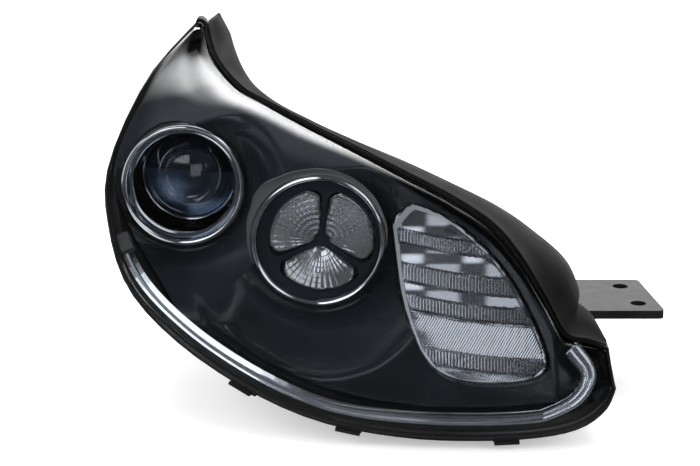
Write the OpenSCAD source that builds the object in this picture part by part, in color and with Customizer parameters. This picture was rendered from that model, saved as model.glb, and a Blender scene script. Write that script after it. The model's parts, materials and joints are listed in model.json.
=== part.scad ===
// Car headlight assembly, right-hand side of a compact SUV, with a projector low beam that can be aimed,
// a three-petal LED high beam, a flasher behind clear optics and a light bar along the lower edge.
// Frame: +Z up, -Y towards the front of the car, +X towards the grille. The origin is the centre of the
// two screw holes in the top face of the inner mounting bracket.

/* [Shells] */
// Wall of the housing
wall_t = 2.5; // [2:0.1:3]
// Wall of the clear outer lens
lens_t = 3; // [2.5:0.1:3.5]
// Wall of the inner bezel
bezel_t = 2; // [1.6:0.1:2.4]
// Length of the lens skirt that sits in the housing channel
skirt_len = 9; // [8:0.5:10]
// Gap between the lens and the bezel behind it
bezel_gap = 12; // [10:0.5:14]

/* [Projector] */
// Radius of the projector glass
glass_r = 35; // [33:0.5:35.5]
// Radius of curvature of the projector glass
glass_curve_r = 37.5; // [37:0.5:42]
// Outer radius of the chrome collar around the projector
collar_r = 47; // [46:0.5:48]
// Inner radius of the bay that the projector swings in
bay_r = 54; // [53.5:0.5:56]
// Distance of the levelling rod below the pivot
level_arm = 43; // [42.5:0.5:43.5]
// Distance of the side aiming stud from the pivot
side_arm = 45; // [44.5:0.5:45.5]

/* [High beam] */
// Outer radius of the high beam ring
ring_r = 49.5; // [48:0.5:51]
// Width of the high beam ring
ring_w = 4.5; // [4:0.5:6]
// Gap between two petals of the high beam
petal_gap = 4.5; // [4:0.5:6]

/* [Light bar] */
// Radius of the clear light guide
guide_r = 4.5; // [4:0.5:5]

/* [Mounting bracket] */
// Thickness of the bracket plate
plate_t = 6.5; // [5:0.5:7]
// Diameter of the circle through the two screw holes
hole_circle = 44; // [40:1:48]
// Diameter of each screw hole
hole_d = 12; // [8:0.5:12]

/* [Hidden] */
$fn = 48;

// Upper edge of the lens, from the swept-back tip to the grille end
RIM_TOP = [[-333, 104, 193], [-324, 76, 171], [-302, 36, 154], [-277, 8, 146], [-246, -21, 136],
    [-212, -51, 126], [-176, -80, 114], [-145, -99, 102], [-117, -112, 86], [-98, -119, 65],
    [-80, -124, 36], [-64, -128, 9], [-46, -130, 4], [-34, -135, 1]];
// Lower edge of the lens, station by station opposite the upper edge
RIM_LOW = [[-336, 105, 192], [-375, 72, 151], [-399, 12, 99], [-396, -26, 62], [-378, -68, 27],
    [-341, -102, -2], [-290, -128, -29], [-237, -141, -49], [-180, -148, -58], [-131, -150, -60],
    [-85, -150, -58], [-54, -148, -52], [-36, -145, -40], [-29, -141, -26]];
// How far the lens stands out from the line between its edges
CROWN = [3, 13, 24, 29, 30, 29, 27, 25, 24, 22, 20, 16, 10, 5];
// Y of the housing's back wall
BACK_Y = [134, 118, 98, 78, 62, 48, 30, 10, -8, -22, -36, -56, -84, -98];
// Width and depth of the rubber shelf along the upper edge
SEAL_W = [6, 10.5, 4, 0, 0, 0.5, 1, 2, 4, 10, 21, 18, 10, 0];
SEAL_D = [40, 46, 30, 10, 9, 12, 24, 26, 38, 54, 56, 50, 34, 7];

// Axis and pivot of the projector
PX = -340;
PZ = 87.5;
PY = 75;
COLLAR_X = PX - 2;
// Where the parts of the projector stand along Y
COLLAR_Y = -6;
GLASS_Y = 14;
FLANGE_Y = 54;
BAY_Y = 50;
BAY_END = 160;
NECK_Y = 119;
FLAP_Y = 49;
CAP_Z = PZ + 10;
CAP_R = 34;
MOTOR_Y = BAY_END + wall_t + 0.8;
ROD_X = PX - 14;
ARM_Y = 89.5;
// Centre of the high beam, the plane of its ring and the middle of its petals
HX = -239;
HZ = 63;
HY = -72;
HUB_X = HX + 2.5;
// Centre and lean of the turn signal
TX = -127;
TZ = 22;
TY = -112;
TURN_LEAN = 18;
TURN_BACK_Y = -2;
TURN_OUTLINE = [[-46, -78], [-58, -63], [-55, -38], [-52, -16], [-47, 5], [-39, 27], [-28, 42], [-10, 50],
    [19, 52], [44, 49], [53, 41], [51, 27], [40, 1], [26, -24], [12, -42], [-3, -56], [-17, -67],
    [-35, -75]];
// How far the bezel stays inside the edge of the lens, and its two screws as (u, v) places
BEZEL_PULL = 10;
BEZEL_SCREWS = [[0.36, 0.86], [0.52, 0.3]];
// Bracket, ears and boxes on the back
HOLE_ANGLE = -79.2;
HOLE_POS = hole_circle / 2 * [cos(HOLE_ANGLE), sin(HOLE_ANGLE)];
OUTER_EAR = [-276, 112, 111];
LOWER_EAR = [-214, 10, -46];
CONNECTOR = [-168, 24, 62];
DRIVER = [-240, 62, 48];
VENTS = [[-255, 76, 112], [-112, -10, 52]];
// Stations along and across the lens, shared by the parts that meet at its edge
NU = 44;
NV = 8;
fit = 0.05;

// ---- shape of the lens ----
function cr(p, u) =
    let(n = len(p) - 1, x = min(max(u, 0), 1) * n, i = min(floor(x), n - 1), f = x - i,
        a = p[max(i - 1, 0)], b = p[i], c = p[i + 1], d = p[min(i + 2, n)])
    0.5 * (2 * b + (c - a) * f + (2 * a - 5 * b + 4 * c - d) * f * f + (3 * b - a - 3 * c + d) * f * f * f);
function unit(v) = v / norm(v);
function flat(u, v) = cr(RIM_LOW, u) + (cr(RIM_TOP, u) - cr(RIM_LOW, u)) * v;
function facing(u) =
    let(e = 0.03, n = cross(flat(min(u + e, 1), 0.5) - flat(max(u - e, 0), 0.5), flat(u, 1) - flat(u, 0)))
    unit(n.y > 0 ? -n : n);
function crown(v) = pow(1 - pow(abs(2 * v - 1), 2.6), 0.6);
function skin(u, v, inset = 0) = flat(u, v) + facing(u) * (cr(CROWN, u) * crown(v) - inset);
// A place d behind the lens: straight back at its edges, square to it in the middle
function under(u, v, d) =
    let(c = crown(v)) flat(u, v) + facing(u) * (cr(CROWN, u) - d) * c + [0, d * (1 - c), 0];
// Pulls a (u, v) place inwards from the lens edge by about w millimetres
function pull_u(u, w) = 0.005 * w + (1 - 0.011 * w) * u;
function pull_v(u, v, w) = let(m = min(0.42, w / norm(flat(u, 1) - flat(u, 0)))) m + (1 - 2 * m) * v;

// ---- closed loops around the lens edge ----
function edge_uv(nu, nv) = concat(
    [for (i = [0:nu - 1]) [i / nu, 0]], [for (j = [0:nv - 1]) [1, j / nv]],
    [for (i = [nu:-1:1]) [i / nu, 1]], [for (j = [nv:-1:1]) [0, j / nv]]);
// A loop w outside the edge and d behind it
function outside(nu, nv, w, d) =
    let(rim = [for (p = edge_uv(nu, nv)) skin(p[0], p[1])], n = len(rim))
    [for (k = [0:n - 1])
        let(t = rim[(k + 1) % n] - rim[(k + n - 1) % n])
        rim[k] + w * unit([t.z, 0, -t.x]) + [0, d, 0]];
// A loop w inside the edge and d behind it
function inside(nu, nv, w, d) =
    [for (p = edge_uv(nu, nv)) let(u = pull_u(p[0], w)) flat(u, pull_v(u, p[1], w)) + [0, d, 0]];

// Closed solid from a front grid, loops around its edge and a back grid, all with the same stations
module skin_solid(nu, nv, front, loops, back) {
    size = (nu + 1) * (nv + 1);
    rim = concat(
        [for (i = [0:nu - 1]) i * (nv + 1)], [for (j = [0:nv - 1]) nu * (nv + 1) + j],
        [for (i = [nu:-1:1]) i * (nv + 1) + nv], [for (j = [nv:-1:1]) j]);
    n = len(rim);
    count = len(loops);
    rows = concat([rim], [for (l = [0:count - 1]) [for (k = [0:n - 1]) size + l * n + k]],
        [[for (r = rim) size + count * n + r]]);
    far = size + count * n;
    polyhedron(
        points = concat(front, [for (loop = loops) each loop], back),
        faces = concat(
            [for (i = [0:nu - 1], j = [0:nv - 1]) let(a = i * (nv + 1) + j, b = a + nv + 1)
                each [[a, a + 1, b + 1], [a, b + 1, b]]],
            [for (r = [0:count], k = [0:n - 1]) let(m = (k + 1) % n)
                each [[rows[r][k], rows[r][m], rows[r + 1][m]],
                    [rows[r][k], rows[r + 1][m], rows[r + 1][k]]]],
            [for (i = [0:nu - 1], j = [0:nv - 1]) let(a = far + i * (nv + 1) + j, b = a + nv + 1)
                each [[a, b + 1, a + 1], [a, b, b + 1]]]));
}

// Closed band from loops that follow each other around its section
module band_solid(loops) {
    c = len(loops);
    n = len(loops[0]);
    polyhedron(
        points = [for (loop = loops) each loop],
        faces = [for (r = [0:c - 1], k = [0:n - 1]) let(m = (k + 1) % n, s = (r + 1) % c)
            each [[r * n + k, r * n + m, s * n + m], [r * n + k, s * n + m, s * n + k]]]);
}

// Bar from sections along its length, closed at both ends; each section is convex
module bar_solid(sections) {
    c = len(sections);
    n = len(sections[0]);
    polyhedron(
        points = [for (s = sections) each s],
        faces = concat(
            [for (r = [0:c - 2], k = [0:n - 1]) let(m = (k + 1) % n)
                each [[r * n + k, (r + 1) * n + k, (r + 1) * n + m],
                    [r * n + k, (r + 1) * n + m, r * n + m]]],
            [for (k = [1:n - 2]) [0, k, k + 1]],
            [for (k = [1:n - 2]) [(c - 1) * n, (c - 1) * n + k + 1, (c - 1) * n + k]]));
}

// Children drawn with their Z along world +Y
module along_y(x, y, z) {
    translate([x, y, z]) rotate([-90, 0, 0]) children();
}
module along_x(x, y, z) {
    translate([x, y, z]) rotate([0, 90, 0]) children();
}
module turned(points) {
    rotate_extrude($fn = 96) polygon(points);
}
module tube(r_in, r_out, h) {
    rotate_extrude($fn = 96) translate([r_in, 0]) square([r_out - r_in, h]);
}
module box_at(c, s) {
    translate(c - s / 2) cube(s);
}

// ---- housing, lens and trims ----
function smooth(x) = let(c = min(max(x, 0), 1)) c * c * (3 - 2 * c);
// How far the upper wall of the tub falls towards its back
function sink(u, v) = 9 * smooth((v - 0.5) / 0.5) * smooth((u - 0.2) / 0.1) * smooth((0.68 - u) / 0.1);
function tub_grid(nu, nv, w, lift) =
    [for (i = [0:nu], j = [0:nv])
        let(u = pull_u(i / nu, w), p = flat(u, pull_v(u, j / nv, w)))
        [p.x, cr(BACK_Y, u) - lift, p.z - sink(u, j / nv)]];
function tub_wall(nu, nv, w, share, lift) =
    [for (p = edge_uv(nu, nv))
        let(u = pull_u(p[0], w), q = flat(u, pull_v(u, p[1], w)), y = q.y + skirt_len + 7)
        [q.x, y + (cr(BACK_Y, u) - lift - y) * share, q.z - sink(u, p[1]) * share]];

module tub() {
    skin_solid(NU, NV,
        tub_grid(NU, NV, 15, wall_t),
        [tub_wall(NU, NV, 11, 0.92, wall_t), tub_wall(NU, NV, 8.5, 0.5, wall_t),
            inside(NU, NV, 7.5, skirt_len + 4.5), outside(NU, NV, 0.5, skirt_len + 4.5),
            outside(NU, NV, 0.5, 3), outside(NU, NV, 2.5, 3), outside(NU, NV, 2.5, skirt_len + 7),
            tub_wall(NU, NV, 5.5, 0.1, 0), tub_wall(NU, NV, 5.8, 0.5, 0), tub_wall(NU, NV, 8.5, 0.96, 0)],
        tub_grid(NU, NV, 13, 0));
}

module ear(p, root) {
    hull() {
        along_y(p.x, p.y - 4, p.z) cylinder(r = 11, h = 8, $fn = 32);
        box_at([root.x, p.y, root.y], [16, 8, 16]);
    }
}

module housing() color([0.09, 0.09, 0.1]) {
    difference() {
        union() {
            tub();
            along_y(PX, BAY_Y - 0.6, PZ)
                cylinder(r = bay_r + wall_t, h = BAY_END + wall_t - BAY_Y + 0.6, $fn = 96);
            for (side = [-1, 1]) {
                along_x(PX + side * 55.75 - 3.25, PY, PZ) cylinder(r = 6, h = 6.5);
            }
            along_y(PX, BAY_END, CAP_Z) cylinder(r = CAP_R + wall_t, h = 18, $fn = 96);
            along_y(TX, TURN_BACK_Y - 16, TZ) cylinder(r = 19.5, h = 16, $fn = 64);
            box_at([DRIVER.x, DRIVER.y - 14, DRIVER.z], [74, 28, 62]);
            box_at([CONNECTOR.x, CONNECTOR.y - 14, CONNECTOR.z], [46, 28, 34]);
            for (v = VENTS) {
                along_y(v.x, v.y - 26, v.z) cylinder(r = 9, h = 26);
            }
            translate([-96, -66, -24]) cube([58, 101, 24 - plate_t - 0.02]);
            ear(OUTER_EAR, [-289, 112]);
            ear(LOWER_EAR, [-214, -30]);
        }
        along_y(PX, BAY_Y - 1, PZ) cylinder(r = bay_r, h = BAY_END - BAY_Y + 1, $fn = 96);
        along_y(PX, BAY_END - 1, CAP_Z) cylinder(r = CAP_R, h = 30, $fn = 96);
        for (side = [-1, 1]) {
            along_x(PX + side * 55.75 - 3.5, PY, PZ) cylinder(r = 2.52, h = 7);
        }
        along_y(ROD_X, BAY_END - 1, PZ - level_arm) cylinder(r = 3.2, h = 6);
        along_y(PX + side_arm, BAY_END - 1, PZ) cylinder(r = 3.2, h = 6);
        along_y(TX, TURN_BACK_Y - 30, TZ) cylinder(r = 17, h = 40, $fn = 64);
        box_at([DRIVER.x, DRIVER.y - 18, DRIVER.z], [69, 31, 57]);
        box_at([CONNECTOR.x, CONNECTOR.y - 20, CONNECTOR.z], [41, 35, 29]);
        for (v = VENTS) {
            along_y(v.x, v.y - 40, v.z) cylinder(r = 4, h = 50);
        }
        translate([-90, -80, -21]) cube([46, 110, 21 - plate_t - 3]);
        for (p = [OUTER_EAR, LOWER_EAR]) {
            along_y(p.x, p.y - 9, p.z) cylinder(r = 6.02, h = 20);
        }
    }
}

module outer_lens() color([0.85, 0.9, 0.95, 0.35]) {
    skin_solid(NU, NV,
        [for (i = [0:NU], j = [0:NV]) skin(i / NU, j / NV)],
        [outside(NU, NV, 0, skirt_len), inside(NU, NV, lens_t, skirt_len)],
        [for (i = [0:NU], j = [0:NV])
            let(u = pull_u(i / NU, lens_t)) skin(u, pull_v(u, j / NV, lens_t), lens_t)]);
}

module lens_sealant() color([0.05, 0.05, 0.05]) {
    band_solid([outside(NU, NV, 0, skirt_len + 0.2), inside(NU, NV, 2.8, skirt_len + 0.2),
        inside(NU, NV, 2.8, skirt_len + 0.9), outside(NU, NV, 0, skirt_len + 0.9)]);
}

// A spring clip over the joint between lens and housing, at place u along the lower edge
module edge_clip(u) {
    p = flat(u, 0);
    t = cr(RIM_LOW, u + 0.02) - cr(RIM_LOW, u - 0.02);
    turn = atan2(t.z, t.x);
    yaw = atan2(t.y, t.x);
    translate(p) rotate([0, -turn, 0]) rotate([0, 0, yaw]) {
        translate([-9, 2, -5.6]) cube([18, 18, 2.4]);
        translate([-9, 17, -9]) cube([18, 3, 4]);
    }
}

module lens_clips() color([0.1, 0.1, 0.11]) {
    for (u = [0.455, 0.565, 0.735]) {
        edge_clip(u);
    }
}

module hood_seal() color([0.12, 0.12, 0.13]) {
    bar_solid([for (i = [0:34])
        let(u = 0.005 + 0.985 * i / 34, e = 0.015, p = flat(u, 1),
            t = cr(RIM_TOP, min(u + e, 1)) - cr(RIM_TOP, max(u - e, 0)),
            n = unit([-t.z, 0, t.x]), w = cr(SEAL_W, u), d = cr(SEAL_D, u))
        [p + 3.1 * n + [0, 3, 0], p + 5 * n + [0, 1, 0], p + (5.5 + 0.7 * w) * n + [0, 0.5 * d, 0],
            p + (5 + w) * n + [0, d, 0], p + (3.2 + w) * n + [0, d, 0], p + 3.1 * n + [0, 0.45 * d, 0]]]);
}

// Depth of the bezel, deepest around the projector and the high beam
function dish(p, x, z, y, r_in, r_out) =
    let(k = smooth((r_out - norm([p.x - x, p.z - z])) / (r_out - r_in)))
    [p.x, p.y + (max(p.y, y) - p.y) * k, p.z];
function bezel_point(u, v) =
    let(from_edge = v * norm(flat(u, 1) - flat(u, 0)),
        shelf = max(smooth((26 - from_edge) / 7), smooth((u - 0.8) / 0.02)) * smooth((u - 0.19) / 0.05)
            * (1 - 0.85 * smooth((u - 0.875) / 0.03) * (1 - smooth((v - 0.3) / 0.1))),
        p = under(u, v, bezel_gap + 11 * shelf))
    dish(dish(p, COLLAR_X, PZ, COLLAR_Y + 5, 50, 84), HX, HZ, HY + 6, 53, 84);

module bezel() color([0.06, 0.07, 0.09]) {
    nu = 54;
    nv = 16;
    front = [for (i = [0:nu], j = [0:nv])
        let(u = pull_u(i / nu, BEZEL_PULL)) bezel_point(u, pull_v(u, j / nv, BEZEL_PULL))];
    difference() {
        skin_solid(nu, nv, front, [[for (p = edge_uv(nu, nv))
            let(u = pull_u(p[0], BEZEL_PULL))
                bezel_point(u, pull_v(u, p[1], BEZEL_PULL)) + [0, bezel_t / 2, 0]]],
            [for (p = front) p + [0, bezel_t, 0]]);
        along_y(COLLAR_X, -160, PZ) cylinder(r = collar_r + 0.4, h = 260, $fn = 96);
        along_y(HX, -220, HZ) cylinder(r = ring_r + 0.4, h = 260, $fn = 96);
        turn_frame(-70) linear_extrude(height = 130) polygon(1.012 * TURN_OUTLINE);
    }
}

module bezel_screws() color([0.5, 0.5, 0.52]) {
    for (q = BEZEL_SCREWS) {
        p = bezel_point(q.x, q.y);
        along_y(p.x, p.y + bezel_t + 8, p.z) {
            cylinder(r = 4, h = 3);
            cylinder(r = 2, h = 12);
        }
    }
}

// ---- projector that can be aimed ----
module projector_collar() color([0.85, 0.86, 0.88]) {
    along_y(COLLAR_X, COLLAR_Y, PZ)
        turned([[42, 2], [43.3, 0], [collar_r - 1.4, 0], [collar_r, 2], [collar_r, 17], [43.5, 17], [43, 26],
            [41.5, 26], [41.5, 13], [38.8, 12.2], [38.8, 11]]);
}

module frame_pivot_pins() color([0.75, 0.76, 0.78]) {
    for (side = [-1, 1]) {
        along_x(PX + side * 52 - 6.5, PY, PZ) cylinder(r = 2.5, h = 13);
    }
}

module aim_frame() color([0.15, 0.15, 0.16]) {
    rod = [ROD_X, PY, PZ - level_arm];
    difference() {
        union() {
            along_y(PX, PY - 5, PZ) tube(44, 49, 10);
            for (side = [-1, 1]) {
                along_x(PX + side * 47.25 - 3, PY, PZ) cylinder(r = 6, h = 6);
            }
            box_at(rod, [10, 10, 10.5]);
        }
        for (side = [-1, 1]) {
            along_x(PX + side * 47.25 - 5, PY, PZ) cylinder(r = 2.5 + fit, h = 10);
        }
        translate([PX, PY, PZ - 60]) cylinder(r = 2.02, h = 120);
        along_x(rod.x - 8, rod.y, rod.z) cylinder(r = 2.9, h = 16);
        translate([rod.x - 8, rod.y, rod.z - 2.3]) cube([16, 10, 4.6]);
    }
}

module yaw_pins() color([0.75, 0.76, 0.78]) {
    for (z = [PZ - 48.5, PZ + 39]) {
        translate([PX, PY, z]) cylinder(r = 2, h = 9.5);
    }
}

module lens_holder() color([0.1, 0.1, 0.11]) {
    difference() {
        along_y(PX, 0, PZ)
            turned([[glass_r + 0.2, 36], [38, 36], [38, 50], [42, 50], [42, FLANGE_Y], [33, FLANGE_Y],
                [33, 41.2], [glass_r + 0.2, 41.2]]);
        along_x(PX - 24, FLAP_Y, PZ - 27) cylinder(r = 1.3, h = 48);
        box_at([PX, FLAP_Y + 1, PZ - 36], [7, 14, 14]);
    }
}

module projector_lens() color([0.7, 0.8, 0.95, 0.5]) {
    intersection() {
        translate([PX, GLASS_Y + glass_curve_r, PZ]) sphere(r = glass_curve_r, $fn = 96);
        along_y(PX, GLASS_Y - 5, PZ) cylinder(r = glass_r, h = 32, $fn = 96);
    }
}

module lens_retainer() color([0.8, 0.81, 0.83]) {
    along_y(PX, 32.4, PZ) turned([[glass_r + 0.3, 0.6], [glass_r + 1.2, 0], [38.2, 0.8], [38.2, 3.5],
        [glass_r + 0.3, 3.5]]);
}

function bowl_r(r, depth, y) = r * sqrt(1 - pow((y - FLANGE_Y - 3) / depth, 2));

module projector_reflector() color([0.8, 0.8, 0.82]) {
    steps = 9;
    outer = [for (k = [0:steps]) let(y = FLANGE_Y + 3 + 56 * k / steps) [bowl_r(39.5, 66, y), y]];
    inner = [for (k = [steps:-1:0]) let(y = FLANGE_Y + 3 + 54 * k / steps) [bowl_r(37, 64, y), y]];
    difference() {
        union() {
            along_y(PX, 0, PZ)
                turned(concat([[37, FLANGE_Y + 0.1], [42, FLANGE_Y + 0.1], [42, FLANGE_Y + 3]], outer,
                    [[19, NECK_Y - 4], [19, NECK_Y], [9.2, NECK_Y], [9.2, NECK_Y - 8]], inner));
            for (side = [0, 180]) {
                translate([PX, PY, PZ]) rotate([0, side, 0])
                    translate([0, 0, 37.4]) cylinder(r = 5, h = 5.1);
            }
            translate([PX + 33.6, ARM_Y - 5, PZ - 6]) cube([16, 10, 12]);
        }
        for (side = [0, 180]) {
            translate([PX, PY, PZ]) rotate([0, side, 0]) translate([0, 0, 38.6])
                cylinder(r = 2 + fit, h = 6);
        }
        box_at([PX, FLANGE_Y + 2, PZ - 42], [7, 6, 6]);
        box_at([PX + side_arm, ARM_Y, PZ], [7, 5.8, 7]);
        box_at([PX + side_arm, ARM_Y + 4, PZ], [5.4, 8, 5.4]);
    }
}

module low_beam_bulb() color([0.85, 0.85, 0.8]) {
    along_y(PX, 84, PZ) {
        turned([[0, 0], [2.6, 0.8], [4.4, 2.8], [5, 6], [5, 26], [7, 29], [8.8, 30], [8.8, 35.2], [16, 35.2],
            [16, 38], [11, 38], [11, 50], [0, 50]]);
    }
}

module bulb_clip() color([0.7, 0.71, 0.73]) {
    along_y(PX, 122.2, PZ) {
        tube(12, 15, 1.2);
        translate([-19, -1, 0]) cube([5, 2, 1.2]);
        translate([14, -1, 0]) cube([5, 2, 1.2]);
    }
}

module holder_screws() color([0.6, 0.61, 0.63]) {
    for (a = [45, 135, 225, 315]) {
        along_y(PX + 40.5 * cos(a), 46.2, PZ + 40.5 * sin(a)) cylinder(r = 1.6, h = 3, $fn = 24);
    }
}

module solenoid_body() color([0.25, 0.25, 0.27]) {
    difference() {
        box_at([PX, 62.4, PZ - 45.5], [15, 10, 9]);
        along_y(PX, 56, PZ - 45) cylinder(r = 1.6, h = 14);
    }
}

module solenoid_plunger() color([0.75, 0.76, 0.78]) {
    along_y(PX, 50.3, PZ - 42) cylinder(r = 1, h = 5.4);
    along_y(PX, 55.4, PZ - 45) cylinder(r = 1.55, h = 9);
    box_at([PX, 55, PZ - 43.5], [2.6, 1.6, 4.6]);
}

module shutter_flap() color([0.5, 0.5, 0.52]) {
    difference() {
        intersection() {
            along_y(PX, FLAP_Y - 0.6, PZ) cylinder(r = 31, h = 1.2, $fn = 96);
            box_at([PX, FLAP_Y, PZ - 14.5], [70, 2, 27]);
        }
        translate([PX, FLAP_Y - 2, PZ - 3]) cube([40, 4, 5]);
    }
    along_x(PX - 22, FLAP_Y, PZ - 27) cylinder(r = 1.25, h = 44);
    box_at([PX, FLAP_Y, PZ - 36], [4, 1.2, 17]);
}

// ---- levelling and side aim ----
module level_motor() color([0.13, 0.13, 0.14]) {
    difference() {
        union() {
            translate([PX - 38, MOTOR_Y, 14]) cube([50, 32, 41]);
            translate([PX + 12, MOTOR_Y + 6, 22]) cube([14, 16, 20]);
            along_y(ROD_X - 14, MOTOR_Y + 32, 28) cylinder(r = 6, h = 1.2);
        }
        along_y(ROD_X, MOTOR_Y - 1, PZ - level_arm) cylinder(r = 2.06, h = 26);
        along_y(ROD_X - 14, MOTOR_Y + 20, 28) cylinder(r = 3.05, h = 20);
        translate([PX + 18, MOTOR_Y + 8.5, 24.5]) cube([12, 11, 15]);
    }
}

module level_rod() color([0.85, 0.85, 0.83]) {
    translate([ROD_X, PY, PZ - level_arm]) sphere(r = 2.6, $fn = 32);
    along_y(ROD_X, PY, PZ - level_arm) cylinder(r = 1.6, h = 12);
    along_y(ROD_X, PY + 12, PZ - level_arm) cylinder(r = 2, h = MOTOR_Y + 14 - PY - 12);
}

module adjuster_knob(x, y, z, r, reach, shaft) {
    along_y(x, y, z) {
        difference() {
            cylinder(r = r, h = 9);
            for (a = [0:30:330]) {
                rotate(a) translate([r + 0.6, 0, -1]) cylinder(r = 1.6, h = 11, $fn = 16);
            }
            for (a = [0, 90]) {
                rotate(a) translate([-3.2, -0.7, 5]) cube([6.4, 1.4, 5]);
            }
        }
        translate([0, 0, -reach]) cylinder(r = shaft, h = reach + 1);
    }
}

module vertical_adjuster() color([0.9, 0.9, 0.88]) {
    adjuster_knob(ROD_X - 14, MOTOR_Y + 33.6, 28, 9, 12, 3);
}

module side_adjuster_housing() color([0.13, 0.13, 0.14]) {
    difference() {
        along_y(PX + side_arm, MOTOR_Y, PZ) cylinder(r = 8, h = 14);
        along_y(PX + side_arm, MOTOR_Y - 1, PZ) cylinder(r = 2.06, h = 9);
        along_y(PX + side_arm, MOTOR_Y + 9, PZ) cylinder(r = 3.05, h = 9);
    }
}

module side_stud() color([0.85, 0.85, 0.83]) {
    translate([PX + side_arm, ARM_Y, PZ]) sphere(r = 2.6, $fn = 32);
    along_y(PX + side_arm, ARM_Y, PZ) cylinder(r = 1.4, h = 14);
    along_y(PX + side_arm, ARM_Y + 14, PZ) cylinder(r = 2, h = MOTOR_Y + 5 - ARM_Y - 14);
}

module side_adjuster() color([0.9, 0.9, 0.88]) {
    adjuster_knob(PX + side_arm, MOTOR_Y + 14.5, PZ, 7.4, 5, 3);
}

module cap_seal() color([0.08, 0.08, 0.08]) {
    along_y(PX, BAY_END + 9, CAP_Z) tube(31.05, CAP_R - fit, 6);
}

module low_beam_cap() color([0.11, 0.11, 0.12]) {
    along_y(PX, BAY_END, CAP_Z) {
        difference() {
            turned([[0, 14], [28, 14], [28, 5], [33.5, 5], [33.5, 8.9], [31, 8.9], [31, 15.1], [33.5, 15.1],
                [33.5, 18.4], [37.6, 18.4], [37.6, 23], [0, 23]]);
            for (a = [0:15:345]) {
                rotate(a) translate([38.6, 0, 17]) cylinder(r = 1.8, h = 8, $fn = 16);
            }
        }
        translate([-26, -4, 22.5]) cube([52, 8, 11]);
    }
}

// ---- high beam ----
module high_beam_pod() color([0.1, 0.12, 0.15]) {
    along_y(HX, HY, HZ) turned([[ring_r - 3, 9.6], [ring_r, 9.6], [ring_r - 0.5, 14], [ring_r - 3, 36],
        [ring_r - 5.5, 36], [ring_r - 3.4, 14]]);
}

module high_beam_ring() color([0.86, 0.87, 0.89]) {
    r_in = ring_r - ring_w;
    along_y(HX, HY, HZ) turned([[r_in, 3], [r_in + 1.3, 0.6], [r_in + 2.4, 0], [ring_r - 1.2, 0.8],
        [ring_r, 2.6], [ring_r, 9.4], [r_in, 9.4]]);
}

// One third of the high beam face: a rounded sector between two radii, pointing along angle a
module petal_2d(a, grow) {
    r_out = ring_r - ring_w - 6.5 + grow;
    offset(r = 4) offset(delta = -4) difference() {
        intersection() {
            circle(r = r_out, $fn = 72);
            rotate(a) translate([petal_gap / sqrt(3) - grow, 0])
                polygon([[0, 0], [60, 104], [60, -104]]);
        }
        circle(r = 5 - grow);
        rotate(a) translate([-30, 28.5 + grow]) square([100, 40]);
        rotate(a) translate([-30, -68.5 - grow]) square([100, 40]);
    }
}

module petal_block(a, y, h, grow) {
    along_y(HUB_X, y, HZ) linear_extrude(height = h) petal_2d(-a, grow);
}

PETAL_ANGLES = [145, 25, 265];

module high_beam_face() color([0.07, 0.08, 0.11]) {
    difference() {
        along_y(HX, HY + 5.2, HZ) cylinder(r = ring_r - ring_w - 0.2, h = 3, $fn = 96);
        for (a = PETAL_ANGLES) {
            petal_block(a, HY + 2, 9, 0.3);
        }
    }
}

module petal_left() color([0.9, 0.92, 0.95, 0.6]) petal_block(PETAL_ANGLES[0], HY + 3, 9, 0);
module petal_right() color([0.9, 0.92, 0.95, 0.6]) petal_block(PETAL_ANGLES[1], HY + 3, 9, 0);
module petal_lower() color([0.9, 0.92, 0.95, 0.6]) petal_block(PETAL_ANGLES[2], HY + 3, 9, 0);

module high_beam_board() color([0.1, 0.35, 0.2]) {
    along_y(HX, HY + 20, HZ) cylinder(r = 40, h = 1.6, $fn = 64);
    for (a = PETAL_ANGLES) {
        along_y(HUB_X + 22 * cos(a), HY + 18, HZ + 22 * sin(a)) cylinder(r = 3.5, h = 2.1);
    }
}

module heat_sink() color([0.65, 0.66, 0.68]) {
    along_y(HX, HY + 21.8, HZ) cylinder(r = 41, h = 6, $fn = 64);
    for (k = [-3:3]) {
        half = sqrt(39 * 39 - 100 * k * k);
        box_at([HX + 10 * k, HY + 44, HZ], [2.4, 34, 2 * half]);
    }
}

// ---- turn signal ----
module turn_frame(depth) {
    translate([TX, TY, TZ]) rotate([-90 - TURN_LEAN, 0, 0]) translate([0, 0, depth]) children();
}

module turn_reflector() color([0.85, 0.86, 0.88]) {
    difference() {
        turn_frame(0) linear_extrude(height = 52) polygon(TURN_OUTLINE);
        turn_frame(-1) linear_extrude(height = 50.5) polygon(0.95 * TURN_OUTLINE);
        along_y(TX, -100, TZ) cylinder(r = 14, h = 80);
    }
}

module turn_inner_lens() color([0.9, 0.92, 0.95, 0.45]) {
    turn_frame(1) linear_extrude(height = 3) polygon(0.945 * TURN_OUTLINE);
}

module turn_seal() color([0.08, 0.08, 0.08]) {
    along_y(TX, TURN_BACK_Y - 9, TZ) tube(14.05, 17 - fit, 5);
}

module turn_socket() color([0.2, 0.2, 0.21]) {
    along_y(TX, TURN_BACK_Y, TZ) {
        turned([[0, -46], [10.5, -46], [10.5, -12], [16.6, -12], [16.6, -9.1], [14, -9.1], [14, -3.9],
            [16.6, -3.9], [16.6, 0.4], [21, 0.4], [21, 4], [0, 4]]);
        translate([-13, -3, 3.5]) cube([26, 6, 9]);
    }
}

module turn_bulb() color([0.95, 0.6, 0.2, 0.7]) {
    along_y(TX, TURN_BACK_Y - 46, TZ)
        turned([[0, -0.1], [7.5, -0.1], [7.5, -5], [9.5, -13], [9, -20], [6, -25], [2.5, -27.5], [0, -28]]);
}

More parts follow.
